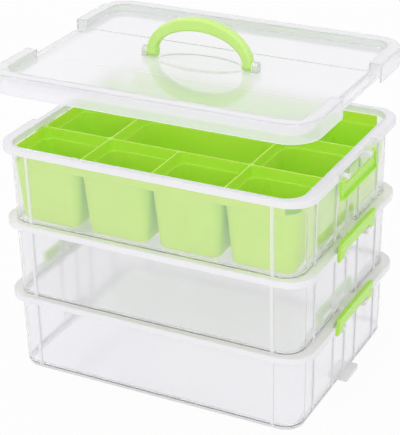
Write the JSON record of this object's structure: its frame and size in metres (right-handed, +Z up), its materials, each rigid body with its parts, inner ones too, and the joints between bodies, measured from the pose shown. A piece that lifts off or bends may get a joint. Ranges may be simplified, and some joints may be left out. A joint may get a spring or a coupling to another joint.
{
  "type": "stackable storage box",
  "caption": "Clear stacking carry box with lift-off trays, hinged end latches, a divided cup insert and a lid with a folding arched handle.",
  "frame": {"origin": "middle of the bottom tray's base, where it stands", "axes": "+X along the long side, +Y from the front to the back, +Z up"},
  "size_m": [0.3772, 0.2764, 0.3967],
  "materials": {
    "clear_plastic": "clear glossy polypropylene",
    "green_plastic": "satin lime green"
  },
  "bodies": {
    "bottom_tray": {"bottom_tray": "clear_plastic"},
    "middle_tray": {"middle_tray": "clear_plastic"},
    "top_tray": {"top_tray": "clear_plastic"},
    "lid": {"lid": "clear_plastic"},
    "handle": {"handle": "green_plastic"},
    "cup_insert": {"cup_insert": "green_plastic"},
    "bottom_latch_left": {"bottom_latch_left": "green_plastic"},
    "bottom_latch_right": {"bottom_latch_right": "green_plastic"},
    "middle_latch_left": {"middle_latch_left": "green_plastic"},
    "middle_latch_right": {"middle_latch_right": "green_plastic"},
    "top_latch_left": {"top_latch_left": "green_plastic"},
    "top_latch_right": {"top_latch_right": "green_plastic"}
  },
  "joints": [
    {"name": "middle_tray_lift", "type": "slide", "parent": "bottom_tray", "child": "middle_tray", "axis": [0, 0, 1], "range_m": [0, 0.015]},
    {"name": "top_tray_lift", "type": "slide", "parent": "middle_tray", "child": "top_tray", "axis": [0, 0, 1], "range_m": [0, 0.015]},
    {"name": "lid_lift", "type": "slide", "parent": "top_tray", "child": "lid", "axis": [0, 0, 1], "range_m": [-0.067, 0]},
    {"name": "insert_lift", "type": "slide", "parent": "top_tray", "child": "cup_insert", "axis": [0, 0, 1], "range_m": [0, 0.06]},
    {"name": "handle_fold", "type": "hinge", "parent": "lid", "child": "handle", "pos_m": [0, 0, 0.3525], "axis": [1, 0, 0], "range_deg": [-88, 88]},
    {"name": "bottom_latch_left_turn", "type": "hinge", "parent": "bottom_tray", "child": "bottom_latch_left", "pos_m": [-0.1834, 0, 0.0814], "axis": [0, -1, 0], "range_deg": [0, 175]},
    {"name": "bottom_latch_right_turn", "type": "hinge", "parent": "bottom_tray", "child": "bottom_latch_right", "pos_m": [0.1834, 0, 0.0814], "axis": [0, 1, 0], "range_deg": [0, 175]},
    {"name": "middle_latch_left_turn", "type": "hinge", "parent": "middle_tray", "child": "middle_latch_left", "pos_m": [-0.1834, 0, 0.1708], "axis": [0, -1, 0], "range_deg": [0, 175]},
    {"name": "middle_latch_right_turn", "type": "hinge", "parent": "middle_tray", "child": "middle_latch_right", "pos_m": [0.1834, 0, 0.1708], "axis": [0, 1, 0], "range_deg": [0, 175]},
    {"name": "top_latch_left_turn", "type": "hinge", "parent": "top_tray", "child": "top_latch_left", "pos_m": [-0.1834, 0, 0.2602], "axis": [0, -1, 0], "range_deg": [-170, 3]},
    {"name": "top_latch_right_turn", "type": "hinge", "parent": "top_tray", "child": "top_latch_right", "pos_m": [0.1834, 0, 0.2602], "axis": [0, 1, 0], "range_deg": [-170, 3]}
  ],
  "couplings": [
    {"joint": "bottom_latch_left_turn", "follows": "middle_tray_lift", "rad_per_m": 203},
    {"joint": "bottom_latch_right_turn", "follows": "middle_tray_lift", "rad_per_m": 203},
    {"joint": "middle_latch_left_turn", "follows": "top_tray_lift", "rad_per_m": 203},
    {"joint": "middle_latch_right_turn", "follows": "top_tray_lift", "rad_per_m": 203}
  ]
}
